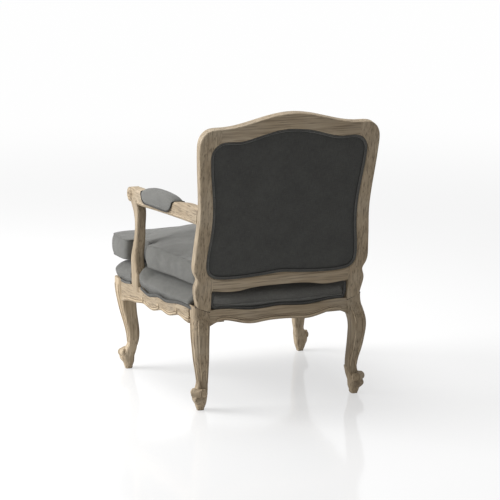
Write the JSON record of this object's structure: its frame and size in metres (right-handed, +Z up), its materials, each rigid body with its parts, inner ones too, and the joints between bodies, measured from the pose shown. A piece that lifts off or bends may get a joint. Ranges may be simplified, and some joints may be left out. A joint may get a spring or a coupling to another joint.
{
  "type": "open armchair",
  "caption": "Open armchair with carved cabriole legs, a flat reclined padded back, open padded arms and a loose notched seat cushion.",
  "frame": {"origin": "on the floor, under the middle of the overall box", "axes": "+Z up, the sitter faces -Y, the sitter's left is +X"},
  "size_m": [0.7104, 0.7592, 0.9547],
  "materials": {
    "limed_oak": "limed, open grain, matt",
    "hardwood_dowel": "plain",
    "screw_steel": "plated",
    "jute_webbing": "woven",
    "hessian": "coarse weave",
    "black_lining": "thin lining",
    "padding": "soft filling",
    "grey_linen": "plain woven linen",
    "dark_welt": "linen over cord"
  },
  "bodies": {
    "frame": {"crest_rail": "limed_oak", "back_lower_rail": "limed_oak", "front_seat_rail": "limed_oak", "rear_seat_rail": "limed_oak", "front_leg_left": "limed_oak", "front_leg_right": "limed_oak", "rear_leg_left": "limed_oak", "rear_leg_right": "limed_oak", "back_stile_left": "limed_oak", "back_stile_right": "limed_oak", "side_seat_rail_left": "limed_oak", "side_seat_rail_right": "limed_oak", "armrest_left": "limed_oak", "armrest_right": "limed_oak", "arm_post_left": "limed_oak", "arm_post_right": "limed_oak", "front_corner_block_left": "limed_oak", "front_corner_block_right": "limed_oak", "rear_corner_block_left": "limed_oak", "rear_corner_block_right": "limed_oak", "rail_dowels": "hardwood_dowel", "back_member_dowels": "hardwood_dowel", "stile_dowels": "hardwood_dowel", "arm_dowels": "hardwood_dowel", "corner_block_screws": "screw_steel", "seat_straps_along": "jute_webbing", "seat_straps_across": "jute_webbing", "back_straps": "jute_webbing", "seat_hessian": "hessian", "dust_cover": "black_lining", "seat_deck_padding": "padding", "inside_back_padding": "padding", "arm_pad_padding_left": "padding", "arm_pad_padding_right": "padding", "seat_deck_cover": "grey_linen", "inside_back_cover": "grey_linen", "outside_back_panel": "grey_linen", "arm_pad_cover_left": "grey_linen", "arm_pad_cover_right": "grey_linen", "outside_back_welt": "dark_welt", "inside_back_welt": "dark_welt"},
    "cushion": {"cushion_cover": "grey_linen", "cushion_filling": "padding"}
  },
  "joints": [
    {"name": "cushion_lift", "type": "slide", "parent": "frame", "child": "cushion", "axis": [0, 0, 1], "range_m": [0, 0.07]}
  ]
}
